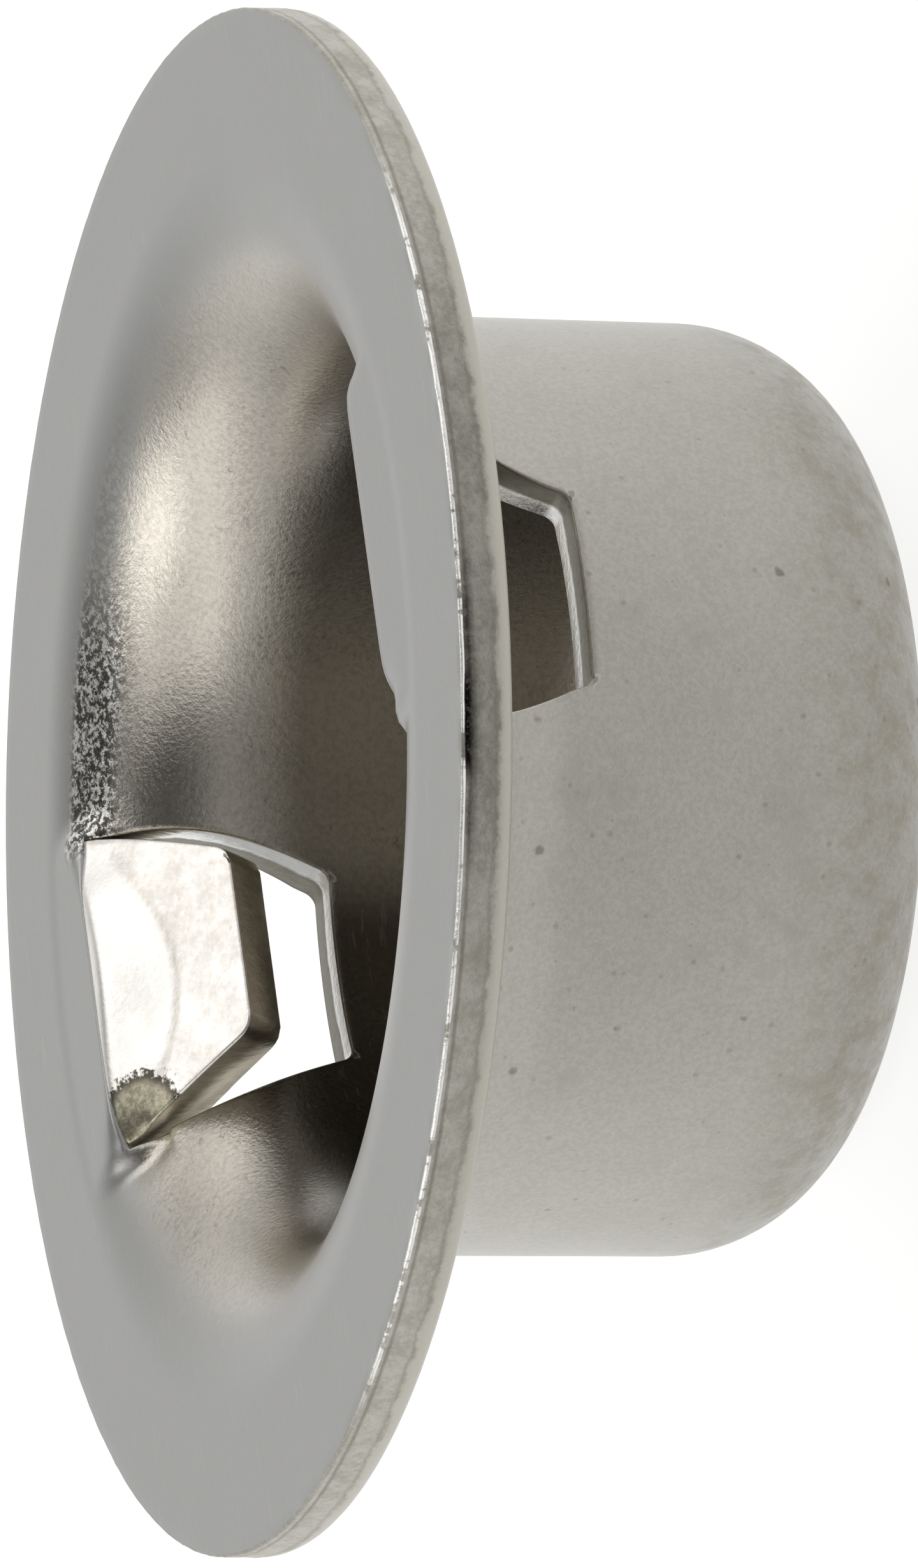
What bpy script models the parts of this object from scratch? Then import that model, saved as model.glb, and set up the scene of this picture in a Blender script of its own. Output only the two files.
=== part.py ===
"""Push-on end cap pressed from one disc of plated sheet steel.

A round flange runs through a wide, funnel-like mouth into a cup with a flat closed end. Two
tapered spring tabs, lanced out of the mouth and the cup's wall opposite each other, point down
into the bore and grip the shaft that the cap is pushed onto. Each tab is folded down from a
short ledge that stays level with the flange, and leaves its window open.

Frame: +Z is the cup's axis and points out of the mouth. The closed end rests on z = 0, centred
on the origin. The tabs lie on +Y and -Y. Dimensions are in millimetres until MM scales them.
Depths are counted down from the flange's front face, and slopes down from its plane.
"""

import math

import bmesh
import bpy
from mathutils import Matrix, Vector

MM = 0.001
QUARTER = math.pi / 2

# Sheet and cup
SHEET = 0.92  # thickness of the plated sheet
FLANGE_RADIUS = 12.70  # a flange 25.4 mm across
HEIGHT = 10.23  # closed end to the flange's front face
BORE_RADIUS = 6.80  # inside the cup, where the mouth's rounding ends
DRAFT = math.radians(0.5)  # the wall closes in by this angle towards the closed end
MOUTH_ROUND = 3.50  # rounding of the front face into the bore
END_ROUND = 2.72  # rounding outside, between the wall and the closed end
RIM_ROLL = 0.28  # rolled-over edge on the back of the flange
RIM_EDGE = 0.06  # nearly sharp edge on the front of the flange

# Spring tabs, measured on the face that the shaft touches
TAB_ROOT_REACH = 8.35  # from the cup's axis to the tab's root
TAB_FOLD_REACH = 8.14  # where the ledge's face and the tab's flat face would meet
TAB_FOLD_ROUND = 0.60  # rounding of the fold
TAB_TIP_REACH = 5.60
TAB_SLOPE = math.radians(35.0)
TAB_ROOT_HALF_WIDTH = 2.86
TAB_TIP_HALF_WIDTH = 1.65

# Ledges that the tabs are folded from
LEDGE_DROP = 0.02  # below the flange's front face
LEDGE_END_REACH = 8.60  # leaves the tab room to turn
LEDGE_ROOT_REACH = 9.80
LEDGE_HALF_WIDTH = 3.03

# Windows that the tabs leave
WINDOW_ROOT_REACH = 9.60
WINDOW_TAPER_REACH = 8.70  # the window's sides are parallel down to here
WINDOW_END_DEPTH = 3.83
WINDOW_ROOT_HALF_WIDTH = 2.98
WINDOW_END_HALF_WIDTH = 1.70
WINDOW_CORNER = 0.28
SIDE_BULGE = 1.25  # above 1, a cut side bows outwards between its root and its end
CUT_MARGIN = 0.80  # how far the cutter stands proud of both faces of the sheet

# Fineness
TURN_STEPS = 64
CHORD_ERROR = 0.015  # furthest that a facet's middle lies from the true arc
FOLD_STEPS = 5
WINDOW_STEPS = 12

FLAT_RADIUS = BORE_RADIUS + MOUTH_ROUND  # where the flange stops being flat
MOUTH_CENTRE = (FLAT_RADIUS, HEIGHT - MOUTH_ROUND)
FOLD_START = TAB_FOLD_REACH + TAB_FOLD_ROUND * math.tan(TAB_SLOPE / 2)
FOLD_LENGTH = TAB_FOLD_ROUND * TAB_SLOPE


def clear_scene():
    for item in list(bpy.data.objects):
        bpy.data.objects.remove(item, do_unlink=True)


def new_collection(name):
    group = bpy.data.collections.new(name)
    bpy.context.scene.collection.children.link(group)
    return group


def steel(name, colour, roughness):
    material = bpy.data.materials.new(name)
    material.use_nodes = True
    shader = material.node_tree.nodes["Principled BSDF"]
    shader.inputs["Base Color"].default_value = (*colour, 1.0)
    shader.inputs["Metallic"].default_value = 1.0
    shader.inputs["Roughness"].default_value = roughness
    return material


def add_object(name, mesh, group):
    item = bpy.data.objects.new(name, mesh)
    group.objects.link(item)
    return item


def mesh_from(shape, name):
    mesh = bpy.data.meshes.new(name)
    shape.to_mesh(mesh)
    shape.free()
    return mesh


def arc(centre, radius, start, end):
    """Points from one angle to the other, anticlockwise from +X in the XZ plane."""
    step = 2 * math.acos(1 - CHORD_ERROR / radius)
    count = math.ceil(abs(end - start) / step)
    angles = [start + (end - start) * n / count for n in range(count + 1)]
    return [(centre[0] + radius * math.cos(a), centre[1] + radius * math.sin(a)) for a in angles]


def sheet_profile():
    """Half section of the sheet, from the axis inside the cup, over the rim and back below."""
    wall_angle = math.pi - DRAFT  # direction from the mouth's centre to the top of the wall
    inner_round = END_ROUND - SHEET
    wall_top = FLAT_RADIUS - MOUTH_ROUND * math.cos(DRAFT)
    wall_drop = MOUTH_CENTRE[1] + MOUTH_ROUND * math.sin(DRAFT) - END_ROUND
    end_centre = (wall_top - wall_drop * math.tan(DRAFT) - inner_round, END_ROUND)
    edge_centre = (FLANGE_RADIUS - RIM_EDGE, HEIGHT - RIM_EDGE)
    roll_centre = (FLANGE_RADIUS - RIM_ROLL, HEIGHT - SHEET + RIM_ROLL)
    points = [(0.0, SHEET)]
    points += arc(end_centre, inner_round, -QUARTER, 0.0)
    points += arc(MOUTH_CENTRE, MOUTH_ROUND, wall_angle, QUARTER)
    points += arc(edge_centre, RIM_EDGE, QUARTER, 0.0)
    points += arc(roll_centre, RIM_ROLL, 0.0, -QUARTER)
    points += arc(MOUTH_CENTRE, MOUTH_ROUND - SHEET, QUARTER, wall_angle)
    points += arc(end_centre, END_ROUND, 0.0, -QUARTER)
    points.append((0.0, 0.0))
    return points


def turned(name, points, group):
    mesh = bpy.data.meshes.new(name)
    vertices = [(x * MM, 0.0, z * MM) for x, z in points]
    mesh.from_pydata(vertices, [(n, n + 1) for n in range(len(points) - 1)], [])
    item = add_object(name, mesh, group)
    screw = item.modifiers.new("turn", "SCREW")
    screw.steps = TURN_STEPS
    screw.render_steps = TURN_STEPS
    screw.use_merge_vertices = True
    screw.merge_threshold = 0.00001
    screw.use_smooth_shade = True
    return item


def slope_at(reach):
    """Slope of the mouth's front face at a distance from the cup's axis."""
    return math.asin((FLAT_RADIUS - reach) / MOUTH_ROUND)


def sheet_front(length):
    """Reach, height and slope of the sheet's front face, down from the window's root."""
    start = slope_at(WINDOW_ROOT_REACH)
    slope = min(start + length / MOUTH_ROUND, QUARTER)
    straight = length - (slope - start) * MOUTH_ROUND
    reach = FLAT_RADIUS - MOUTH_ROUND * math.sin(slope)
    return reach, MOUTH_CENTRE[1] + MOUTH_ROUND * math.cos(slope) - straight, slope


def window_length(reach):
    """Length of the window along the front face, from a reach in the mouth to its end."""
    curved = (QUARTER - slope_at(reach)) * MOUTH_ROUND
    return curved + WINDOW_END_DEPTH - MOUTH_ROUND


def cut_half_width(along, root, end):
    """Half width of a cut outline, where along runs from 0 at the root to 1 at the end."""
    return end + (root - end) * (1.0 - along**SIDE_BULGE)


def window_stations():
    """Length and half width at each station of a window, with a rounded corner at its end."""
    whole = window_length(WINDOW_ROOT_REACH)
    tapered = window_length(WINDOW_TAPER_REACH)
    lengths = [(whole - WINDOW_CORNER) * n / WINDOW_STEPS for n in range(WINDOW_STEPS)]
    corner = [QUARTER * n / 4 for n in range(5)]
    lengths += [whole - WINDOW_CORNER * (1 - math.sin(turn)) for turn in corner]
    inset = [0.0] * WINDOW_STEPS + [WINDOW_CORNER * (1 - math.cos(turn)) for turn in corner]
    for length, less in zip(lengths, inset):
        along = max(0.0, 1 - (whole - length) / tapered)
        wide = cut_half_width(along, WINDOW_ROOT_HALF_WIDTH, WINDOW_END_HALF_WIDTH)
        yield length, wide - less


def window_cutter(side, group):
    """Loft through the sheet whose faces stand square to it all along the window."""
    shape = bmesh.new()
    rings = []
    for length, wide in window_stations():
        reach, height, slope = sheet_front(length)
        out = Vector((0.0, -math.sin(slope), math.cos(slope)))
        front = Vector((0.0, reach, height)) + out * CUT_MARGIN
        back = front - out * (SHEET + 2 * CUT_MARGIN)
        across = Vector((wide, 0.0, 0.0))
        corners = (front - across, front + across, back + across, back - across)
        rings.append([shape.verts.new(corner * MM) for corner in corners])
    for above, below in zip(rings, rings[1:]):
        for n in range(4):
            shape.faces.new((above[n], above[n - 1], below[n - 1], below[n]))
    shape.faces.new(rings[0])
    shape.faces.new(rings[-1][::-1])
    bmesh.ops.recalc_face_normals(shape, faces=shape.faces)
    cutter = add_object("window_cutter", mesh_from(shape, "window_cutter"), group)
    cutter.rotation_euler = (0.0, 0.0, 0.0 if side > 0 else math.pi)
    cutter.hide_render = True
    cutter.display_type = "WIRE"
    return cutter


def ledge_block(side, group):
    """The stretch of sheet that stays level with the flange, between it and the tab's fold."""
    shape = bmesh.new()
    bmesh.ops.create_cube(shape, size=1.0)
    length = LEDGE_ROOT_REACH - LEDGE_END_REACH
    middle = (0.0, LEDGE_END_REACH + length / 2, HEIGHT - LEDGE_DROP - SHEET / 2)
    size = (2 * LEDGE_HALF_WIDTH, length, SHEET)
    for vertex in shape.verts:
        vertex.co = Vector([m + c * s for m, c, s in zip(middle, vertex.co, size)]) * MM
    block = add_object("ledge_block", mesh_from(shape, "ledge_block"), group)
    block.rotation_euler = (0.0, 0.0, 0.0 if side > 0 else math.pi)
    block.hide_render = True
    block.display_type = "WIRE"
    return block


def cap_shell(group, cutters, material):
    shell = turned("cap_shell", sheet_profile(), group)
    shell.data.materials.append(material)
    for side in (1, -1):
        cut = shell.modifiers.new("window", "BOOLEAN")
        cut.operation = "DIFFERENCE"
        cut.object = window_cutter(side, cutters)
    for side in (1, -1):
        ledge = shell.modifiers.new("ledge", "BOOLEAN")
        ledge.operation = "UNION"
        ledge.object = ledge_block(side, cutters)


def tab_front(length):
    """Reach, height and slope of the tab's front face, down from the start of its fold."""
    slope = TAB_SLOPE * min(max(length / FOLD_LENGTH, 0.0), 1.0)
    straight = length - slope * TAB_FOLD_ROUND
    reach = FOLD_START - TAB_FOLD_ROUND * math.sin(slope) - straight * math.cos(slope)
    drop = LEDGE_DROP + TAB_FOLD_ROUND * (1 - math.cos(slope)) + straight * math.sin(slope)
    return reach, HEIGHT - drop, slope


def tab_lengths():
    """Stations along the tab: its root, the steps of its fold, and its tip."""
    fold_end = tab_front(FOLD_LENGTH)[0]
    tip = FOLD_LENGTH + (fold_end - TAB_TIP_REACH) / math.cos(TAB_SLOPE)
    fold = [FOLD_LENGTH * n / FOLD_STEPS for n in range(FOLD_STEPS + 1)]
    flat = [FOLD_LENGTH + (tip - FOLD_LENGTH) * n / FOLD_STEPS for n in range(1, FOLD_STEPS + 1)]
    return [FOLD_START - TAB_ROOT_REACH] + fold + flat


def tab_hinge():
    """Middle of the sheet, half a thickness down from the start of the fold."""
    reach, height, slope = tab_front(SHEET / 2)
    middle = SHEET / 2
    return Vector((0.0, reach + middle * math.sin(slope), height - middle * math.cos(slope)))


def tab_mesh(material):
    """The tab's front face as a folded strip, measured from the hinge."""
    lengths = tab_lengths()
    root, tip = lengths[0], lengths[-1]
    shape = bmesh.new()
    bmesh.ops.create_grid(shape, x_segments=1, y_segments=len(lengths) - 1, size=1.0)
    hinge = tab_hinge()
    for vertex in shape.verts:
        length = lengths[round((vertex.co.y + 1) / 2 * (len(lengths) - 1))]
        reach, height, _ = tab_front(length)
        along = (length - root) / (tip - root)
        wide = cut_half_width(along, TAB_ROOT_HALF_WIDTH, TAB_TIP_HALF_WIDTH)
        vertex.co = (Vector((vertex.co.x * wide, reach, height)) - hinge) * MM
    bmesh.ops.reverse_faces(shape, faces=shape.faces)
    mesh = mesh_from(shape, "grip_tab")
    mesh.materials.append(material)
    return mesh


def grip_tab(name, side, mesh, group):
    """One tab, with its origin on the axis that it turns about when a shaft pushes past it."""
    tab = add_object(name, mesh, group)
    turn = Matrix.Rotation(0.0 if side > 0 else math.pi, 4, "Z")
    tab.matrix_world = turn @ Matrix.Translation(tab_hinge() * MM)
    solid = tab.modifiers.new("sheet", "SOLIDIFY")
    solid.thickness = SHEET * MM
    solid.offset = -1.0
    solid.use_even_offset = True


def main():
    clear_scene()
    parts = new_collection("push_on_end_cap")
    cutters = new_collection("cutters")
    cap_shell(parts, cutters, steel("satin_plate", (0.55, 0.53, 0.49), 0.36))
    tab = tab_mesh(steel("bright_plate", (0.68, 0.66, 0.62), 0.26))
    grip_tab("grip_tab_a", 1, tab, parts)
    grip_tab("grip_tab_b", -1, tab, parts)
    tab.shade_smooth()
    tab.set_sharp_from_angle(angle=math.radians(35.0))


main()
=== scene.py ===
"""Looks for the push-on end cap: fine sheet-metal meshes, worn plating, a pale studio.

The frame is the CAD's: +Z is the cup's axis and points out of the mouth, and the tabs lie on
+Y and -Y. Sizes are in millimetres until MM scales them.
"""

import math

import bmesh
import bpy
import numpy as np
from mathutils import Matrix, Vector, noise


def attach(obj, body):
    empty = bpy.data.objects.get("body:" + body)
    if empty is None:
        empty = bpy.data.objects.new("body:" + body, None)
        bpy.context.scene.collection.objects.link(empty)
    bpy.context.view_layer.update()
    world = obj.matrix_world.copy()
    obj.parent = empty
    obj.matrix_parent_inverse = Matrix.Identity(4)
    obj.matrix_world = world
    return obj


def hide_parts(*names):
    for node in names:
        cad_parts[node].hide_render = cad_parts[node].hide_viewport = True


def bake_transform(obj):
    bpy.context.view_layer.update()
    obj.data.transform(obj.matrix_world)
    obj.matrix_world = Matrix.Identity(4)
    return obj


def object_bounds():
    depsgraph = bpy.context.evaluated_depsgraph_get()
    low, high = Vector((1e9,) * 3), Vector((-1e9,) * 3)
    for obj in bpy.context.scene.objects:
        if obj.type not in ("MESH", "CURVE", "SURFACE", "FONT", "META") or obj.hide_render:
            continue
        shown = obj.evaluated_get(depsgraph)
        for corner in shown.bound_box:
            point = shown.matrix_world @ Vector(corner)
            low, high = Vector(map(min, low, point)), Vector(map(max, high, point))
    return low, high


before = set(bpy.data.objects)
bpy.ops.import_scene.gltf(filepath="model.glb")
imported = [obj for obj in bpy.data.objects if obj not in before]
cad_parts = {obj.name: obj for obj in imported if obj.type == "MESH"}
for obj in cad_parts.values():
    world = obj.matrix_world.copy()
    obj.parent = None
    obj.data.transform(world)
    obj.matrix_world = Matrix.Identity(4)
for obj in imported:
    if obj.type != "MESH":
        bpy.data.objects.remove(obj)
CAD_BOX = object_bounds()

MM = 0.001
QUARTER = math.pi / 2

# Sheet, read from the frame where the box gives it
FLANGE_RADIUS = CAD_BOX[1].x / MM
HEIGHT = CAD_BOX[1].z / MM
SHEET = 0.92
BORE_RADIUS = 6.80
DRAFT = math.radians(0.5)
MOUTH_ROUND = 3.50
INNER_ROUND = 1.80
FLAT_RADIUS = BORE_RADIUS + MOUTH_ROUND
RIM_EDGE = 0.05
RIM_ROLL = 0.28

# Windows and tabs
TAB_SPLIT_REACH = 8.20  # where the shell's mesh hands over to the tab's
TAB_ROOT_REACH = 8.35
TAB_FOLD_REACH = 8.14
TAB_FOLD_ROUND = 0.60
TAB_TIP_REACH = 5.60
TAB_SLOPE = math.radians(35.0)
TAB_ROOT_HALF_WIDTH = 2.86
TAB_TIP_HALF_WIDTH = 1.65
TAB_TIP_CORNER = 0.22
TAB_THINNED = 0.10  # how much thinner the sheet is at the tab's tip
CREASE_REACH = 6.72  # where the tool mark on the tab's face crosses its middle line
CREASE_CURVE = 0.16
CREASE_STEP = 0.022
LEDGE_DROP = 0.02
LEDGE_SPREAD = {"front": 0.45, "back": 1.1}  # width over which the sheet rises to the ledge
# Crumpled root corners: across, reach, how deep and how wide
CRUMPLES = ((-2.72, 8.02, 0.20, 0.42), (3.12, 8.10, 0.04, 0.30))
WINDOW_TAPER_REACH = 8.70
WINDOW_END_DEPTH = 3.83
WINDOW_ROOT_HALF_WIDTH = 2.98
WINDOW_END_HALF_WIDTH = 1.70
WINDOW_CORNER = 0.16
SIDE_BULGE = 1.25
CUT_ROUND = 0.04
# For the windows on +Y and -Y: how far the middle of the root and of the end lie towards +X
LEANS = {1.0: (0.24, 0.0), -1.0: (0.0, -0.20)}

# Fineness
COLUMNS = 384
WINDOW_COLUMNS = 18  # from a window's middle to its side
SIDE_FADE = math.radians(24.0)
CHORD_FADE = math.radians(14.0)
CHORD_SPREAD = 0.90
TAB_ROWS = 44
TAB_COLUMNS = 40
# Steps down the sheared rim, and turns round its rolled back edge
RIM_DOWNS = (0.05, 0.08, 0.11, 0.15, 0.20, 0.27, 0.36, 0.46, 0.56, 0.64)
ROLL_TURNS = (0.3, 0.6, 0.9, 1.2, 1.45)

# The camera's place: it looks along FAR, 17.56 degrees down, with the cup's axis to the left
FAR_TURN = math.radians(62.9)
CAMERA_DROP = math.radians(17.56)
CAMERA_ROLL = math.radians(1.0)
CAMERA_DISTANCE = 500.0
PICTURE_HEIGHT = 25.70
MIDDLE_RIGHT = 3.787
MIDDLE_DOWN = 0.028
FAR = Vector((math.cos(FAR_TURN), math.sin(FAR_TURN), 0.0))
SIDE = Vector((math.sin(FAR_TURN), -math.cos(FAR_TURN), 0.0))
UP = Vector((0.0, 0.0, 1.0))

# Soft boxes in degrees: turn from FAR towards SIDE, rise, softness of both, and strength
SOFT_BOXES = (
    ((-152.0, -52.0), (32.0, 80.0), (10.0, 7.0), 0.84),
    ((-98.0, -30.0), (52.0, 68.0), (7.0, 5.0), 1.22),
    ((20.0, 105.0), (44.0, 84.0), (10.0, 8.0), 1.25),
    ((50.0, 110.0), (18.0, 38.0), (16.0, 8.0), 0.45),
)


def smooth(x):
    x = np.clip(x, 0.0, 1.0)
    return x * x * (3.0 - 2.0 * x)


# ---------------------------------------------------------------- the sheet's front face

FRONT, RIM, BACK, CUT = range(4)
FLAT_END = FLANGE_RADIUS - FLAT_RADIUS
WALL_SLOPE = QUARTER - DRAFT
MOUTH_END = FLAT_END + MOUTH_ROUND * WALL_SLOPE
WALL_TOP = (
    FLAT_RADIUS - MOUTH_ROUND * math.cos(DRAFT),
    HEIGHT - MOUTH_ROUND * (1 - math.sin(DRAFT)),
)
WALL_LENGTH = (WALL_TOP[1] - SHEET - INNER_ROUND) / math.cos(DRAFT)
WALL_END = MOUTH_END + WALL_LENGTH
WALL_FOOT = (
    WALL_TOP[0] - WALL_LENGTH * math.sin(DRAFT),
    WALL_TOP[1] - WALL_LENGTH * math.cos(DRAFT),
)
CORNER_CENTRE = (
    WALL_FOOT[0] - INNER_ROUND * math.cos(DRAFT),
    WALL_FOOT[1] + INNER_ROUND * math.sin(DRAFT),
)
CORNER_END = WALL_END + INNER_ROUND * WALL_SLOPE
SHEET_END = CORNER_END + CORNER_CENTRE[0]


def front_face(length):
    """Reach, height and slope of the front face, at lengths measured inwards from the rim."""
    length = np.asarray(length, float)
    mouth = np.clip((length - FLAT_END) / MOUTH_ROUND, 0.0, WALL_SLOPE)
    corner = np.clip(WALL_SLOPE - (length - WALL_END) / INNER_ROUND, 0.0, WALL_SLOPE)
    down = length - MOUTH_END
    where = [length < FLAT_END, length < MOUTH_END, length < WALL_END, length < CORNER_END]
    reach = [
        FLANGE_RADIUS - length,
        FLAT_RADIUS - MOUTH_ROUND * np.sin(mouth),
        WALL_TOP[0] - down * math.sin(DRAFT),
        CORNER_CENTRE[0] + INNER_ROUND * np.sin(corner),
    ]
    height = [
        np.full_like(length, HEIGHT),
        HEIGHT - MOUTH_ROUND * (1 - np.cos(mouth)),
        WALL_TOP[1] - down * math.cos(DRAFT),
        CORNER_CENTRE[1] - INNER_ROUND * np.cos(corner),
    ]
    slope = [np.zeros_like(length), mouth, np.full_like(length, WALL_SLOPE), corner]
    return (
        np.select(where, reach, CORNER_CENTRE[0] - (length - CORNER_END)),
        np.select(where, height, SHEET),
        np.select(where, slope, 0.0),
    )


def mouth_length(reach):
    """Length at which the mouth's rounding comes to this reach."""
    return FLAT_END + MOUTH_ROUND * np.arcsin((FLAT_RADIUS - reach) / MOUTH_ROUND)


def fold_depth(x, y, y_side):
    """Depth below the flange of a ledge, of the tab's fold and of its flat face.

    The fold of the tab on +Y isn't straight: it starts late in the middle and early at the sides.
    """
    late = -0.30 * np.exp(-(((x - 0.6) / 1.3) ** 2))
    late = late + 0.26 * smooth((x - 1.6) / 1.3) + 0.16 * smooth((-1.3 - x) / 1.0)
    late = late * smooth((y - 6.2) / 2.0) * (y_side > 0)
    start = TAB_FOLD_REACH + TAB_FOLD_ROUND * math.tan(TAB_SLOPE / 2)
    inwards = np.clip(start + late - y, 0.0, None)
    end = TAB_FOLD_ROUND * math.sin(TAB_SLOPE)
    curved = np.minimum(inwards, end)
    depth = TAB_FOLD_ROUND - np.sqrt(TAB_FOLD_ROUND**2 - curved**2)
    return LEDGE_DROP + depth + (inwards - curved) * math.tan(TAB_SLOPE)


ROOT_LENGTH = float(mouth_length(TAB_SPLIT_REACH))
TAPER_LENGTH = float(mouth_length(WINDOW_TAPER_REACH))
WINDOW_END = MOUTH_END + (WALL_TOP[1] - HEIGHT + WINDOW_END_DEPTH) / math.cos(DRAFT)


def cut_half_width(along, root, end):
    """Half width of a cut outline, where along runs from 0 at the root to 1 at the end."""
    return end + (root - end) * (1.0 - np.clip(along, 0.0, 1.0) ** SIDE_BULGE)


def row_lengths():
    """Lengths of the shell's rows, and the indices of the window's root row and end row."""
    corner = [WINDOW_END - WINDOW_CORNER * (1 - math.sin(QUARTER * n / 5)) for n in range(6)]
    parts = [
        np.array([RIM_EDGE]),
        np.linspace(RIM_ROLL, ROOT_LENGTH, 31),
        np.linspace(ROOT_LENGTH, corner[0], 31)[1:],
        np.array(corner[1:]),
        np.linspace(WINDOW_END, WALL_END, 26)[1:],
        np.linspace(WALL_END, CORNER_END, 19)[1:],
        np.linspace(CORNER_END, SHEET_END - 0.2, 21)[1:],
    ]
    rows = np.concatenate(parts)
    root = int(np.argmin(abs(rows - ROOT_LENGTH)))
    end = int(np.argmin(abs(rows - WINDOW_END)))
    return rows, root, end


def ledge_lift(x, y, lean, spread):
    """How far the sheet is raised beside a tab's fold, from the mouth's rounding to the ledge."""
    reach = np.minimum(np.hypot(x, y), FLAT_RADIUS)
    plain = MOUTH_ROUND - np.sqrt(np.maximum(MOUTH_ROUND**2 - (FLAT_RADIUS - reach) ** 2, 0.0))
    across = smooth((TAB_ROOT_HALF_WIDTH + 0.06 + spread - abs(x - lean)) / spread)
    along = smooth((abs(y) - TAB_SPLIT_REACH + 0.50) / 0.45)
    return np.maximum(plain - fold_depth(x, abs(y), np.sign(y)), 0.0) * across * along


def shell_grid():
    """Front and back points of the shell, column angles at the rim, the root row and end row.

    The grid's lines are led round the windows: a column runs down each side and the root row
    follows the straight line where a tab begins. Across a window both faces have equal widths.
    """
    rows, root, end = row_lengths()
    step = 2 * math.pi / COLUMNS
    turn = np.arange(COLUMNS) * step
    sign = np.where(turn < math.pi, 1.0, -1.0)
    window = np.where(turn < math.pi, QUARTER, 3 * QUARTER)
    hand = np.where(turn < window, -1.0, 1.0)
    away = abs(turn - window)[None, :]
    half = WINDOW_COLUMNS * step
    along = np.clip((rows - TAPER_LENGTH) / (WINDOW_END - TAPER_LENGTH), 0.0, 1.0)
    near_root = np.exp(-(((rows - ROOT_LENGTH) / CHORD_SPREAD) ** 2))
    into_corner = np.clip((rows - WINDOW_END) / WINDOW_CORNER + 1.0, 0.0, 1.0)
    inset = WINDOW_CORNER * (1.0 - np.sqrt(1.0 - into_corner**2))
    lengths = np.zeros((len(rows), COLUMNS))
    angles = {FRONT: np.zeros_like(lengths), BACK: np.zeros_like(lengths)}
    for y_side in (1.0, -1.0):
        for away_side in (-1.0, 1.0):
            mine = (sign == y_side) & (hand == away_side)
            lean = LEANS[y_side][0] + (LEANS[y_side][1] - LEANS[y_side][0]) * along
            wide = cut_half_width(along, WINDOW_ROOT_HALF_WIDTH, WINDOW_END_HALF_WIDTH)
            wide = wide - away_side * y_side * lean - inset
            corner_turn = math.atan(wide[root] / TAB_SPLIT_REACH)
            corner_shift = mouth_length(TAB_SPLIT_REACH / math.cos(corner_turn)) - ROOT_LENGTH
            edge_rows = np.minimum(rows, WINDOW_END) + corner_shift * near_root
            edge_reach, _, edge_slope = front_face(edge_rows)
            for face, thick in ((FRONT, 0.0), (BACK, SHEET)):
                edge = np.arcsin(wide / (edge_reach + thick * np.sin(edge_slope)))[:, None]
                inner = away * edge / half
                outer = away + (edge - half) * (1.0 - smooth((away - half) / SIDE_FADE))
                turned = np.where(away <= half + 1e-9, inner, outer)
                angles[face][:, mine] = (window[None, :] + away_side * turned)[:, mine]
                if face == FRONT:
                    chord = TAB_SPLIT_REACH / np.cos(np.minimum(turned, corner_turn))
                    fade = 1.0 - smooth((away - half) / CHORD_FADE)
                    shift = (mouth_length(chord) - ROOT_LENGTH) * fade * near_root[:, None]
                    lengths[:, mine] = (rows[:, None] + shift)[:, mine]
    reach, height, slope = front_face(lengths)
    points = {}
    for face, thick in ((FRONT, 0.0), (BACK, SHEET)):
        x = (reach + thick * np.sin(slope)) * np.cos(angles[face])
        y = (reach + thick * np.sin(slope)) * np.sin(angles[face])
        points[face] = np.stack([x, y, height - thick * np.cos(slope)], -1)
    x, y = points[FRONT][..., 0], points[FRONT][..., 1]
    lean = np.where(y > 0, LEANS[1.0][0], LEANS[-1.0][0])
    points[FRONT][..., 2] += ledge_lift(x, y, lean, LEDGE_SPREAD["front"])
    points[BACK][..., 2] += ledge_lift(x, y, lean, LEDGE_SPREAD["back"])
    return points[FRONT], points[BACK], angles[FRONT][0], root, end


def wobble(x, y, z):
    return noise.fractal(Vector((x, y, z)), 0.9, 2.1, 3)


def rim_rows(angles):
    """Rows round the sheared rim, from the front edge to the rolled back edge, as points."""
    rows = []
    steps = [(RIM_EDGE * (1 - math.sin(a)), RIM_EDGE * (1 - math.cos(a))) for a in (0.5, 1.0)]
    wall = [(0.0, down) for down in RIM_DOWNS]
    roll = [
        (RIM_ROLL * (1 - math.cos(a)), SHEET - RIM_ROLL * (1 - math.sin(a))) for a in ROLL_TURNS
    ]
    for inward, down in steps + wall + roll:
        row = []
        for angle in angles:
            seen = (angle - FAR_TURN) % (2 * math.pi)
            x, y = math.cos(angle), math.sin(angle)
            rough = wobble(x * 60, y * 60, down * 3.0)
            near = max(0.0, -math.cos(seen))
            ridge = near * max(0.0, wobble(x * 26, y * 26, 3.1)) * math.exp(-((down / 0.05) ** 2))
            tear = rim_tear(math.degrees(seen)) * math.exp(-(((down - 0.13) / 0.06) ** 2))
            fracture = 0.012 * rough * (0.3 if down > SHEET - RIM_ROLL else 1.0)
            reach = FLANGE_RADIUS - inward + fracture - 0.13 * tear + 0.05 * ridge
            height = HEIGHT - down + 0.045 * ridge * (down < 0.06)
            row.append((reach * x, reach * y, height))
        rows.append(row)
    return np.array(rows)


def rim_tear(degrees):
    """How deep the sheared edge is torn, 0 to 1, round the rim's near side."""
    nick = np.exp(-(((degrees - 184.4) / 3.4) ** 4))
    tail = 0.55 * np.exp(-(((degrees - 191.5) / 5.0) ** 2))
    start = 0.35 * np.exp(-(((degrees - 177.5) / 2.5) ** 2))
    return np.clip(nick + tail + start, 0.0, 1.0)


# ---------------------------------------------------------------- mesh helpers


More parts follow.
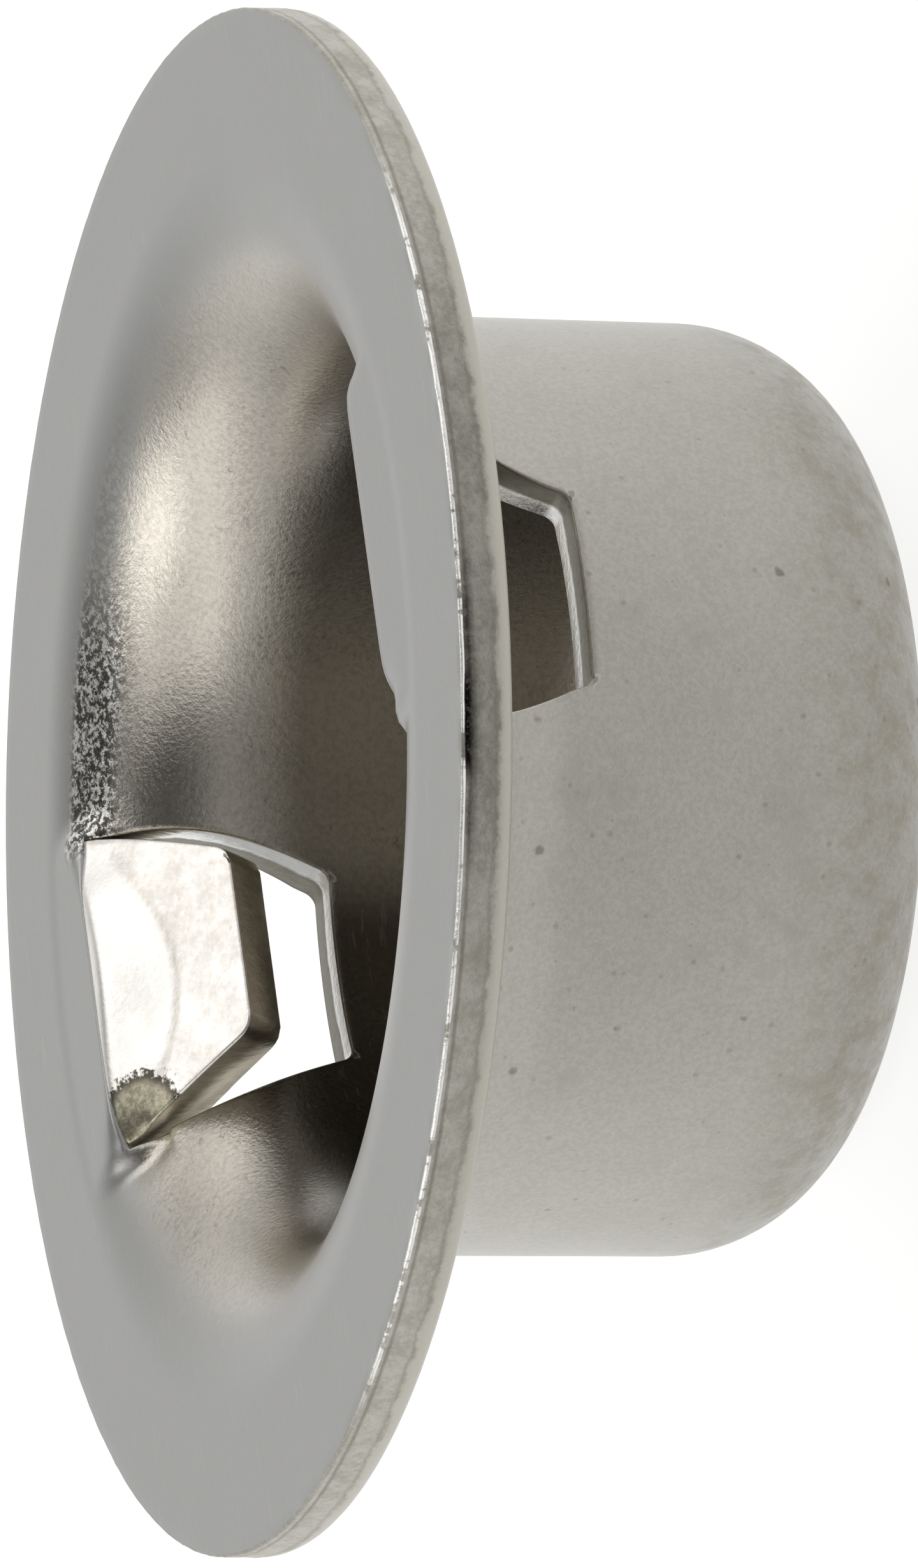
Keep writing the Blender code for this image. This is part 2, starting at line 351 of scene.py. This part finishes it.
def new_object(name, shape, materials):
    mesh = bpy.data.meshes.new(name)
    shape.to_mesh(mesh)
    shape.free()
    for material in materials:
        mesh.materials.append(material)
    item = bpy.data.objects.new(name, mesh)
    bpy.context.scene.collection.objects.link(item)
    mesh.shade_smooth()
    return item


def add_verts(shape, points):
    return [shape.verts.new(Vector(p) * MM) for p in points]


def add_face(shape, corners, material):
    face = shape.faces.new(corners)
    face.material_index = material
    face.smooth = True
    return face


def round_edges(shape, edges, width):
    bmesh.ops.bevel(
        shape,
        geom=edges,
        offset=width * MM,
        segments=2,
        profile=0.5,
        affect="EDGES",
        loop_slide=False,
    )


# ---------------------------------------------------------------- the shell


def crumple(points):
    """Lowers points at the corners of the tabs' roots, where the sheet is torn and rounded."""
    moved = points.copy()
    for y_side in (1.0, -1.0):
        for x, y, depth, size in CRUMPLES:
            gap = np.hypot(points[..., 0] - x, points[..., 1] * y_side - y)
            near_front = points[..., 2] > HEIGHT - 0.8
            moved[..., 2] -= depth * np.exp(-((gap / size) ** 2)) * near_front
    return moved


def make_shell(materials):
    points, back_points, angles, root, end = shell_grid()
    points = crumple(points)
    shape = bmesh.new()
    front = [add_verts(shape, row) for row in points]
    back = [None] + [add_verts(shape, row) for row in back_points[1:]]
    rim = [add_verts(shape, row) for row in rim_rows(angles)]

    def open_at(i, j):
        middles = (COLUMNS // 4, 3 * COLUMNS // 4)
        return root <= i < end and any(-WINDOW_COLUMNS <= j - m < WINDOW_COLUMNS for m in middles)

    for i in range(len(front) - 1):
        for j in range(COLUMNS):
            k = (j + 1) % COLUMNS
            if open_at(i, j):
                continue
            add_face(shape, (front[i][j], front[i][k], front[i + 1][k], front[i + 1][j]), FRONT)
            if i > 0:
                add_face(shape, (back[i][j], back[i + 1][j], back[i + 1][k], back[i][k]), BACK)
    strip = [front[0]] + rim + [back[1]]
    for above, below in zip(strip, strip[1:]):
        for j in range(COLUMNS):
            k = (j + 1) % COLUMNS
            add_face(shape, (above[k], above[j], below[j], below[k]), RIM)
    for ring, height, order, material in ((front[-1], SHEET, 1, FRONT), (back[-1], 0.0, -1, BACK)):
        centre = shape.verts.new(Vector((0.0, 0.0, height * MM)))
        for j in range(COLUMNS):
            corners = (ring[j], ring[(j + 1) % COLUMNS], centre)[::order]
            add_face(shape, corners, material)
    soft = []
    for middle in (COLUMNS // 4, 3 * COLUMNS // 4):
        low, high = middle - WINDOW_COLUMNS, middle + WINDOW_COLUMNS
        loop = [(i, low) for i in range(root, end)]
        loop += [(end, j) for j in range(low, high)]
        loop += [(i, high) for i in range(end, root, -1)]
        loop += [(root, j) for j in range(high, low, -1)]
        for (i, j), (p, q) in zip(loop, loop[1:] + loop[:1]):
            a, b, c, d = front[i][j], front[p][q], back[p][q], back[i][j]
            add_face(shape, (a, b, c, d), CUT)
            if i == root and p == root:
                continue
            soft += [shape.edges.get((a, b)), shape.edges.get((d, c))]
    bmesh.ops.recalc_face_normals(shape, faces=shape.faces)
    round_edges(shape, soft, CUT_ROUND)
    shell = new_object("cap_shell_sheet", shape, materials)
    paint_zones(shell)
    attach(shell, "cap")
    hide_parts("cap_shell")


def points_of(item):
    co = np.zeros(len(item.data.vertices) * 3, np.float32)
    item.data.vertices.foreach_get("co", co)
    return co.reshape(-1, 3) / MM


def paint(item, **values):
    for name, value in values.items():
        attribute = item.data.attributes.new(name, "FLOAT", "POINT")
        attribute.data.foreach_set("value", np.asarray(value, np.float32))


def paint_zones(item):
    """Point attributes that the materials read: where the sheet is glossy, mottled or torn, and
    where shade and a highlight are painted.
    """
    x, y, z = points_of(item).T
    reach = np.hypot(x, y)
    seen = np.degrees((np.arctan2(y, x) - FAR_TURN + math.pi) % (2 * math.pi) - math.pi)
    depth = smooth((HEIGHT - z - 0.12) / 0.50)
    band = smooth((9.42 - reach) / 0.20) * smooth((reach - 8.05) / 0.50)
    around = smooth((9.5 - seen) / 3.0) * (1.0 - 0.85 * smooth((-10.0 - seen) / 15.0))
    around = around * (1.0 - smooth((-30.0 - seen) / 16.0))
    down = HEIGHT - z
    nearest = abs(abs(seen) - 180.0)
    darkest = abs(seen % 360.0 - 196.0)
    low_wall = smooth((seen - 6.0) / 16.0) * (1.0 - smooth((seen - 80.0) / 40.0))
    torn = rim_tear(seen % 360.0) * np.exp(-(((down - 0.13) / 0.07) ** 2))
    centre = np.hypot(FLAT_RADIUS - reach, z - HEIGHT + MOUTH_ROUND)
    curved = (MOUTH_ROUND - centre) / SHEET
    through = np.where(z > HEIGHT - MOUTH_ROUND, curved, (reach - BORE_RADIUS) / SHEET)
    paint(
        item,
        inside=depth,
        mottle=band * around,
        deep=smooth((8.5 - z) / 1.7),
        # painted shade low on the deep inner wall, on one side as seen from the camera
        dull=smooth((8.6 - z) / 1.2) * smooth((reach - 4.9) / 1.6) * low_wall,
        # painted shade on the rim's side that faces the camera
        rim_middle=smooth((38.0 - darkest) / 28.0),
        # where a broken highlight is painted on the burred front edge, on the camera's side
        burr=smooth((56.0 - nearest) / 12.0),
        torn=np.clip(torn * 1.5, 0.0, 1.0),
        through=through,
    )


# ---------------------------------------------------------------- the tabs


def tab_grid(y_side):
    """Front and back points of a tab, from its fold to its tip, as if it lay on +Y."""
    along = np.linspace(0.0, 1.0, TAB_ROWS + 1)
    across = np.linspace(-1.0, 1.0, TAB_COLUMNS + 1)
    span = TAB_SPLIT_REACH - TAB_TIP_REACH
    y = TAB_SPLIT_REACH - span * along
    narrowed = (TAB_ROOT_REACH - y) / (TAB_ROOT_REACH - TAB_TIP_REACH)
    wide = cut_half_width(narrowed, TAB_ROOT_HALF_WIDTH, TAB_TIP_HALF_WIDTH)
    into = np.clip((along - 1.0) * span / TAB_TIP_CORNER + 1.0, 0.0, 1.0)
    wide = wide - TAB_TIP_CORNER * (1.0 - np.sqrt(1.0 - into**2))
    lean = LEANS[y_side][0] + (LEANS[y_side][1] - LEANS[y_side][0]) * along
    x = across[None, :] * wide[:, None] + lean[:, None]
    y = np.repeat(y[:, None], TAB_COLUMNS + 1, 1)
    crease = tab_crease(x - lean[:, None], y)
    front = np.stack([x, y, HEIGHT - fold_depth(x, y, y_side) - crease], -1)
    back = front + crease[..., None] * np.array([0.0, 0.0, 1.0])
    sheet = SHEET - TAB_THINNED * smooth(along)[:, None, None]
    back = back + sheet * np.array([0.0, math.sin(TAB_SLOPE), -math.cos(TAB_SLOPE)])
    return crumple(front), back


def past_crease(x, y):
    """How far a point lies beyond the curved tool mark, towards the tip."""
    return CREASE_REACH + CREASE_CURVE * x * x - y


def tab_crease(x, y):
    """A shallow rounded step, shaped like a D, that the bending tool leaves on the face."""
    past = past_crease(x, y)
    return CREASE_STEP * (smooth((past + 0.09) / 0.18) - smooth((past + 0.1) / 1.3))


TAB_FRONT, TAB_BACK, TAB_CUT = range(3)


def make_tab(name, hand, node, materials):
    front_points, back_points = tab_grid(hand)
    spin = np.array([1.0, hand, 1.0])
    shape = bmesh.new()
    front = [add_verts(shape, row * spin) for row in front_points]
    back = [add_verts(shape, row * spin) for row in back_points]
    for i in range(TAB_ROWS):
        for j in range(TAB_COLUMNS):
            a, b, c, d = (i, j), (i, j + 1), (i + 1, j + 1), (i + 1, j)
            add_face(shape, [front[p][q] for p, q in (a, b, c, d)], TAB_FRONT)
            add_face(shape, [back[p][q] for p, q in (d, c, b, a)], TAB_BACK)
    loop = [(i, 0) for i in range(TAB_ROWS)]
    loop += [(TAB_ROWS, j) for j in range(TAB_COLUMNS)]
    loop += [(i, TAB_COLUMNS) for i in range(TAB_ROWS, 0, -1)]
    loop += [(0, j) for j in range(TAB_COLUMNS, 0, -1)]
    soft = []
    for (i, j), (p, q) in zip(loop, loop[1:] + loop[:1]):
        add_face(shape, (front[i][j], front[p][q], back[p][q], back[i][j]), TAB_CUT)
        if i == 0 and p == 0:
            continue
        soft.append(shape.edges.get((front[i][j], front[p][q])))
        soft.append(shape.edges.get((back[i][j], back[p][q])))
    bmesh.ops.recalc_face_normals(shape, faces=shape.faces)
    round_edges(shape, soft, CUT_ROUND)
    tab = new_object(name, shape, materials)
    x, y, _ = points_of(tab).T
    y = y * hand
    corner = np.hypot((x + 2.45) / 0.90, (y - 7.75) / 0.72)
    past = past_crease(x, y)
    paint(
        tab,
        beyond=smooth((past + 0.13) / 0.12),
        # crease: where shade is painted along the tool's step
        crease=np.exp(-((past / 0.045) ** 2)) * smooth((2.4 - abs(x)) / 0.8),
        stain=smooth((1.35 - corner) / 0.75) * (hand > 0),
    )
    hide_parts(node)
    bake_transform(tab)


# ---------------------------------------------------------------- material helpers


class Nodes:
    """Short names for the nodes that the materials and the world share."""

    def __init__(self, tree):
        self.tree = tree
        self.tree.nodes.clear()

    def add(self, kind, **values):
        node = self.tree.nodes.new(kind)
        for key, value in values.items():
            setattr(node, key, value)
        return node

    def put(self, socket, value):
        if isinstance(value, bpy.types.NodeSocket):
            self.tree.links.new(value, socket)
        else:
            socket.default_value = value

    def math(self, operation, a, b=0.0):
        node = self.add("ShaderNodeMath", operation=operation)
        for socket, value in zip(node.inputs, (a, b)):
            self.put(socket, value)
        return node.outputs[0]

    def ramp(self, value, low, high, to_low=0.0, to_high=1.0):
        node = self.add("ShaderNodeMapRange", interpolation_type="SMOOTHSTEP")
        for socket, given in zip(node.inputs, (value, low, high, to_low, to_high)):
            self.put(socket, given)
        return node.outputs[0]

    def colour(self, factor, a, b, blend="MIX"):
        node = self.add("ShaderNodeMix", data_type="RGBA", blend_type=blend)
        self.put(node.inputs[0], factor)
        for socket, value in ((node.inputs[6], a), (node.inputs[7], b)):
            self.put(socket, value if isinstance(value, bpy.types.NodeSocket) else (*value, 1.0))
        return node.outputs[2]

    def place(self, scale):
        """Coordinates on the object, with scale giving how many features fit in a millimetre."""
        coordinate = self.add("ShaderNodeTexCoord")
        mapping = self.add("ShaderNodeMapping")
        self.put(mapping.inputs["Vector"], coordinate.outputs["Object"])
        mapping.inputs["Scale"].default_value = [s / MM for s in scale]
        return mapping.outputs[0]

    def noise(self, scale, detail=3.0, rough=0.55, warp=0.0):
        scale = scale if isinstance(scale, tuple) else (scale,) * 3
        node = self.add("ShaderNodeTexNoise")
        self.put(node.inputs["Vector"], self.place(scale))
        node.inputs["Scale"].default_value = 1.0
        node.inputs["Detail"].default_value = detail
        node.inputs["Roughness"].default_value = rough
        node.inputs["Distortion"].default_value = warp
        return node.outputs[0]

    def grey(self, value):
        node = self.add("ShaderNodeCombineColor")
        for socket in node.inputs[:3]:
            self.put(socket, value)
        return node.outputs[0]

    def pits(self, scale, size, ragged):
        """1 inside sparse spots with ragged outlines, 0 elsewhere."""
        node = self.add("ShaderNodeTexVoronoi")
        self.put(node.inputs["Vector"], self.place((scale,) * 3))
        node.inputs["Scale"].default_value = 1.0
        far = self.math("ADD", node.outputs["Distance"], ragged)
        return self.ramp(far, size, size * 0.4)

    def attribute(self, name):
        return self.add("ShaderNodeAttribute", attribute_name=name).outputs["Fac"]

    def height(self):
        split = self.add("ShaderNodeSeparateXYZ")
        self.put(split.inputs[0], self.place((1.0, 1.0, 1.0)))
        return split.outputs[2]

    def bump(self, height, distance, strength=1.0):
        node = self.add("ShaderNodeBump")
        self.put(node.inputs["Height"], height)
        node.inputs["Distance"].default_value = distance * MM
        self.put(node.inputs["Strength"], strength)
        return node.outputs[0]


def metal(name, recipe):
    """A metal whose recipe gives colour, roughness and normal."""
    material = bpy.data.materials.new(name)
    material.use_nodes = True
    nodes = Nodes(material.node_tree)
    shader = nodes.add("ShaderNodeBsdfPrincipled")
    output = nodes.add("ShaderNodeOutputMaterial")
    nodes.put(output.inputs[0], shader.outputs[0])
    shader.inputs["Metallic"].default_value = 1.0
    colour, roughness, normal = recipe(nodes)
    nodes.put(shader.inputs["Base Color"], colour)
    nodes.put(shader.inputs["Roughness"], roughness)
    nodes.put(shader.inputs["Normal"], normal)
    return material


def front_recipe(n):
    """Flange and inside of the cup: even satin outside, glossier, sandy and warmer further in, with
    painted shade low on the deep wall.
    """
    zones = ("inside", "deep", "dull", "mottle")
    inside, deep, dull, mottle = [n.attribute(name) for name in zones]
    grain = n.noise(12.0, 3.0, 0.7)
    cloud = n.noise(0.55, 3.0)
    sand = n.ramp(n.noise(10.0, 4.0, 0.75), 0.40, 0.64)
    gathered = n.ramp(n.noise(0.9, 3.0, 0.65), 0.48, 0.66)
    dark_sand = n.math("MULTIPLY", n.ramp(n.noise(8.0, 3.0, 0.7), 0.56, 0.62), gathered)
    worm = n.noise(8.5, 4.0, 0.75, 0.2)
    spots = n.ramp(worm, 0.46, 0.57)
    scuff = n.ramp(n.noise((0.7, 9.0, 9.0), 2.0, 0.5), 0.64, 0.70)
    base = n.colour(inside, (0.357, 0.356, 0.347), (0.485, 0.455, 0.402))
    # painted shade: the deep inner wall darkened towards near black on one side
    base = n.colour(n.math("MULTIPLY", dull, 0.94), base, (0.08, 0.070, 0.055))
    sandy = n.math("MULTIPLY", sand, n.math("ADD", 0.03, n.math("MULTIPLY", inside, 0.15)))
    shade = n.math("SUBTRACT", n.math("ADD", n.math("MULTIPLY", cloud, 0.14), 0.97), sandy)
    base = n.colour(1.0, base, n.grey(shade), "MULTIPLY")
    dark_sand = n.math("MULTIPLY", n.math("MULTIPLY", dark_sand, inside), 0.45)
    base = n.colour(dark_sand, base, (0.19, 0.18, 0.155))
    base = n.colour(n.math("MULTIPLY", scuff, 0.10), base, (0.62, 0.62, 0.60))
    flecks = n.colour(spots, (0.05, 0.047, 0.042), (0.73, 0.715, 0.68))
    base = n.colour(n.math("MULTIPLY", mottle, 0.95), base, flecks)
    rough = n.ramp(inside, 0.0, 1.0, 0.34, 0.19)
    rough = n.math("ADD", rough, n.math("MULTIPLY", deep, 0.16))
    rough = n.math("ADD", rough, n.math("MULTIPLY", n.math("SUBTRACT", cloud, 0.5), 0.10))
    relief = n.math("ADD", grain, n.math("MULTIPLY", n.math("MULTIPLY", worm, mottle), 1.4))
    return base, rough, n.bump(relief, 0.010, n.ramp(inside, 0.0, 1.0, 0.25, 0.75))


def rim_recipe(n):
    """Sheared rim: blotchy beige metal, a torn nick, a painted broken highlight on the burred front
    edge and a rolled edge, with painted shade on the camera's side, under the front edge and in the
    nick.
    """
    down = n.math("SUBTRACT", HEIGHT, n.height())
    middle = n.attribute("rim_middle")
    torn = n.attribute("torn")
    grain = n.noise(9.0, 4.0, 0.75)
    blots = n.noise((1.5, 1.5, 2.2), 4.0, 0.7)
    edge = n.math("ADD", down, n.math("MULTIPLY", n.math("SUBTRACT", blots, 0.5), 0.34))
    rolled = n.ramp(edge, 0.54, 0.70)
    line = n.math("MULTIPLY", n.ramp(edge, 0.50, 0.56), n.ramp(edge, 0.64, 0.58))
    mixed = n.math("ADD", n.math("MULTIPLY", blots, 0.6), n.math("MULTIPLY", grain, 0.4))
    # pale and shaded are a lit and a shaded copy of the rim's metal: painted shade on the camera's
    # side
    pale = n.colour(n.ramp(mixed, 0.36, 0.64), (0.365, 0.348, 0.300), (0.50, 0.49, 0.445))
    shaded = n.colour(n.ramp(mixed, 0.36, 0.64), (0.245, 0.232, 0.202), (0.375, 0.360, 0.325))
    base = n.colour(middle, pale, shaded)
    base = n.colour(n.math("MULTIPLY", line, 0.35), base, (0.20, 0.185, 0.150))
    base = n.colour(rolled, base, (0.455, 0.440, 0.388))
    # painted shadow: a dark band just under the front edge
    gap = n.math("MULTIPLY", n.ramp(down, 0.10, 0.13), n.ramp(down, 0.20, 0.15))
    base = n.colour(n.math("MULTIPLY", gap, 0.5), base, (0.16, 0.148, 0.125))
    # the nick is torn into the geometry; its near-black colour is painted shade
    nick = n.colour(n.ramp(grain, 0.50, 0.60), (0.012, 0.011, 0.010), (0.12, 0.11, 0.095))
    base = n.colour(torn, base, nick)
    # painted highlight: a broken bright line on the burred front edge, on the camera's side only
    broken = n.ramp(n.noise(1.3, 4.0, 0.7), 0.40, 0.47)
    glint = n.math("MULTIPLY", n.ramp(down, 0.075, 0.055), broken)
    glint = n.math("MULTIPLY", glint, n.attribute("burr"))
    base = n.colour(glint, base, (0.93, 0.92, 0.89))
    rough = n.ramp(rolled, 0.0, 1.0, 0.46, 0.36)
    rough = n.math("SUBTRACT", rough, n.math("MULTIPLY", glint, 0.22))
    return base, rough, n.bump(n.math("ADD", grain, n.math("MULTIPLY", blots, 0.6)), 0.02, 0.8)


def back_recipe(n):
    """Underside of the flange and outside of the cup: soft speckle, pits, and a corner that is
    darker and rubbed brown in blots.
    """
    z = n.height()
    grain = n.noise(11.0, 4.0, 0.75)
    cloud = n.noise(0.45, 4.0, 0.65)
    blot = n.noise(1.7, 4.0, 0.72)
    corner = n.ramp(n.math("ABSOLUTE", n.math("SUBTRACT", z, 1.1)), 2.1, 0.3)
    rubbed = n.math("MULTIPLY", corner, n.ramp(blot, 0.40, 0.66))
    under = n.math("MULTIPLY", n.ramp(z, 7.2, 9.4), n.ramp(blot, 0.36, 0.62))
    smudge = n.ramp(n.noise(0.8, 4.0, 0.7), 0.56, 0.70)
    smudge = n.math("MULTIPLY", smudge, n.ramp(grain, 0.42, 0.60))
    ragged = n.math("MULTIPLY", n.math("SUBTRACT", n.noise(6.0, 2.0), 0.5), 0.10)
    pit = n.pits(0.75, 0.085, ragged)
    small = n.pits(1.9, 0.13, ragged)
    speck = n.ramp(n.noise(5.5, 3.0, 0.7), 0.66, 0.72)
    base = n.colour(cloud, (0.372, 0.358, 0.322), (0.445, 0.432, 0.394))
    shade = n.math("ADD", 0.93, n.math("MULTIPLY", n.ramp(grain, 0.38, 0.62), 0.12))
    # the outside is darker towards the closed end's corner
    shade = n.math("SUBTRACT", shade, n.math("MULTIPLY", corner, 0.13))
    base = n.colour(1.0, base, n.grey(shade), "MULTIPLY")
    base = n.colour(n.math("MULTIPLY", rubbed, 0.50), base, (0.285, 0.258, 0.195))
    base = n.colour(n.math("MULTIPLY", under, 0.30), base, (0.32, 0.30, 0.23))
    base = n.colour(n.math("MULTIPLY", smudge, 0.42), base, (0.25, 0.24, 0.215))
    base = n.colour(n.math("MULTIPLY", speck, 0.45), base, (0.23, 0.215, 0.18))
    base = n.colour(n.math("MULTIPLY", small, 0.40), base, (0.21, 0.195, 0.165))
    base = n.colour(n.math("MULTIPLY", pit, 0.60), base, (0.12, 0.11, 0.095))
    rough = n.math("ADD", 0.33, n.math("MULTIPLY", rubbed, 0.12))
    relief = n.math("SUBTRACT", n.math("ADD", grain, cloud), n.math("MULTIPLY", pit, 1.2))
    return base, rough, n.bump(relief, 0.012, 0.6)


def cut_recipe(n):
    """Faces that the lancing tool cut: burnished next to the front, dark and rough behind."""
    through = n.attribute("through")
    stripes = n.noise((7.0, 7.0, 2.4), 3.0, 0.65)
    wander = n.math("ADD", through, n.math("MULTIPLY", n.math("SUBTRACT", n.noise(2.0), 0.5), 0.18))
    fracture = n.ramp(wander, 0.40, 0.50)
    edge = n.ramp(through, 0.86, 0.97)
    bright = n.colour(stripes, (0.60, 0.60, 0.59), (0.86, 0.86, 0.85))
    dark = n.colour(stripes, (0.21, 0.20, 0.165), (0.36, 0.345, 0.295))
    base = n.colour(fracture, bright, dark)
    base = n.colour(n.math("MULTIPLY", edge, 0.6), base, (0.10, 0.092, 0.075))
    return base, n.ramp(fracture, 0.0, 1.0, 0.24, 0.46), n.bump(stripes, 0.015)


def tab_edge_recipe(n):
    """Thin edges of the tabs: warm, fairly even metal with faint tool marks, painted lighter than
    the window's cut faces as a painted reflection of the cup's bright inside.
    """
    stripes = n.noise((6.0, 6.0, 2.0), 3.0, 0.65)
    # painted reflection: the light base colour stands in for the cup's inside reflected in these
    # edges
    base = n.colour(stripes, (0.52, 0.47, 0.375), (0.80, 0.75, 0.64))
    return base, n.math("ADD", 0.26, n.math("MULTIPLY", stripes, 0.2)), n.bump(stripes, 0.012)


def bright_recipe(n):
    """Tab face, burnished by the bending tool, with soft warm mottling, painted shade along the
    tool's step and a stained corner.
    """
    stain, beyond, crease = [n.attribute(name) for name in ("stain", "beyond", "crease")]
    grain = n.noise(9.0, 3.0, 0.7)
    cloud = n.noise(1.6, 4.0, 0.7)
    mixed = n.math("ADD", n.math("MULTIPLY", cloud, 0.65), n.math("MULTIPLY", grain, 0.35))
    freckles = n.ramp(mixed, 0.32, 0.68)
    freckles = n.math("MULTIPLY", freckles, n.math("ADD", 0.35, n.math("MULTIPLY", beyond, 0.65)))
    base = n.colour(freckles, (0.84, 0.82, 0.79), (0.62, 0.585, 0.54))
    # painted shade: a darker line along the tool's step
    base = n.colour(n.math("MULTIPLY", crease, 0.45), base, (0.42, 0.375, 0.32))
    ragged = n.math("ADD", stain, n.math("MULTIPLY", n.math("SUBTRACT", grain, 0.5), 1.5))
    olive = n.colour(n.ramp(grain, 0.36, 0.64), (0.25, 0.23, 0.165), (0.42, 0.395, 0.30))
    # a dark ring round the olive patch at the crumpled corner
    dark_ring = n.colour(n.ramp(stain, 0.55, 0.95), (0.085, 0.077, 0.062), olive)
    base = n.colour(n.ramp(ragged, 0.30, 0.52), base, dark_ring)
    rough = n.math("ADD", 0.20, n.math("MULTIPLY", cloud, 0.12))
    return base, rough, n.bump(n.math("ADD", grain, cloud), 0.006, 0.6)


# ---------------------------------------------------------------- studio


def make_world():
    """A soft studio: pale at the horizon, darker overhead, with large soft boxes on both sides."""
    world = bpy.data.worlds.new("studio")
    world.use_nodes = True
    bpy.context.scene.world = world
    n = Nodes(world.node_tree)
    coordinate = n.add("ShaderNodeTexCoord")

    def towards(axis):
        node = n.add("ShaderNodeVectorMath", operation="DOT_PRODUCT")
        n.put(node.inputs[0], coordinate.outputs["Generated"])
        node.inputs[1].default_value = axis
        return node.outputs["Value"]

    turn = n.math("DEGREES", n.math("ARCTAN2", towards(SIDE), towards(FAR)))
    rise = n.math("DEGREES", n.math("ARCSINE", towards(UP)))

    def band(value, low, high, soft):
        up = n.ramp(value, low - soft, low + soft)
        down = n.ramp(value, high - soft, high + soft, 1.0, 0.0)
        return n.math("MULTIPLY", up, down)

    def box(turns, rises, soft, strength):
        both = n.math("MULTIPLY", band(turn, *turns, soft[0]), band(rise, *rises, soft[1]))
        return n.math("MULTIPLY", both, strength)

    low = n.ramp(rise, 20.0, 60.0, 0.93, 0.24)
    behind = n.ramp(n.math("ABSOLUTE", turn), 120.0, 172.0, 1.0, 0.45)
    aside = n.ramp(n.math("ABSOLUTE", turn), 14.0, 50.0)
    aside = n.math("MULTIPLY", aside, n.ramp(rise, 28.0, 8.0))
    light = n.math("MULTIPLY", low, behind)
    light = n.math("MULTIPLY", light, n.math("SUBTRACT", 1.0, n.math("MULTIPLY", aside, 0.45)))
    for turns, rises, soft, strength in SOFT_BOXES:
        light = n.math("ADD", light, box(turns, rises, soft, strength))
    background = n.add("ShaderNodeBackground")
    n.put(background.inputs["Color"], (1.0, 0.995, 0.985, 1.0))
    n.put(background.inputs["Strength"], light)
    output = n.add("ShaderNodeOutputWorld")
    n.put(output.inputs[0], background.outputs[0])


def make_floor():
    """A pale table that glows like a light table, so that shadows on it stay faint."""
    bpy.ops.mesh.primitive_plane_add(size=4.0, location=(0.0, 0.0, -0.00002))
    floor = bpy.context.object
    floor.name = "studio_floor"
    material = bpy.data.materials.new("pale_floor")
    material.use_nodes = True
    n = Nodes(material.node_tree)
    glow = n.add("ShaderNodeEmission")
    coordinate = n.add("ShaderNodeTexCoord")
    far = n.add("ShaderNodeVectorMath", operation="DOT_PRODUCT")
    n.put(far.inputs[0], coordinate.outputs["Object"])
    far.inputs[1].default_value = FAR
    # painted shade: the glow is dimmer on the camera's side of the cup, which darkens what the
    # cup's outside reflects
    n.put(glow.inputs["Strength"], n.ramp(far.outputs["Value"], -0.034, 0.002, 0.46, 0.84))
    matt = n.add("ShaderNodeBsdfDiffuse")
    matt.inputs["Color"].default_value = (0.38, 0.38, 0.375, 1.0)
    both = n.add("ShaderNodeAddShader")
    n.put(both.inputs[0], glow.outputs[0])
    n.put(both.inputs[1], matt.outputs[0])
    output = n.add("ShaderNodeOutputMaterial")
    n.put(output.inputs[0], both.outputs[0])
    floor.data.materials.append(material)


def make_camera():
    data = bpy.data.cameras.new("camera")
    camera = bpy.data.objects.new("camera", data)
    bpy.context.scene.collection.objects.link(camera)
    forward = FAR * math.cos(CAMERA_DROP) - UP * math.sin(CAMERA_DROP)
    flat_right = -UP * math.cos(CAMERA_DROP) - FAR * math.sin(CAMERA_DROP)
    right = flat_right * math.cos(CAMERA_ROLL) + SIDE * math.sin(CAMERA_ROLL)
    up = SIDE * math.cos(CAMERA_ROLL) - flat_right * math.sin(CAMERA_ROLL)
    middle = UP * HEIGHT + right * MIDDLE_RIGHT - up * MIDDLE_DOWN
    place = (middle - forward * CAMERA_DISTANCE) * MM
    turn = Matrix((right, up, -forward)).transposed().to_4x4()
    camera.matrix_world = Matrix.Translation(place) @ turn
    data.lens = data.sensor_width * CAMERA_DISTANCE / PICTURE_HEIGHT
    data.clip_start = 0.01
    data.clip_end = 10.0
    bpy.context.scene.camera = camera
    bpy.context.scene.view_settings.view_transform = "Standard"


make_camera()
make_world()
make_floor()
satin = metal("satin_plate_front", front_recipe)
rim = metal("sheared_rim", rim_recipe)
back = metal("satin_plate_back", back_recipe)
cut = metal("cut_face", cut_recipe)
bright = metal("bright_plate", bright_recipe)
tab_edge = metal("tab_edge", tab_edge_recipe)
make_shell([satin, rim, back, cut])
make_tab("grip_tab_a_sheet", 1.0, "grip_tab_a", [bright, back, tab_edge])
make_tab("grip_tab_b_sheet", -1.0, "grip_tab_b", [bright, back, tab_edge])

bpy.context.view_layer.update()
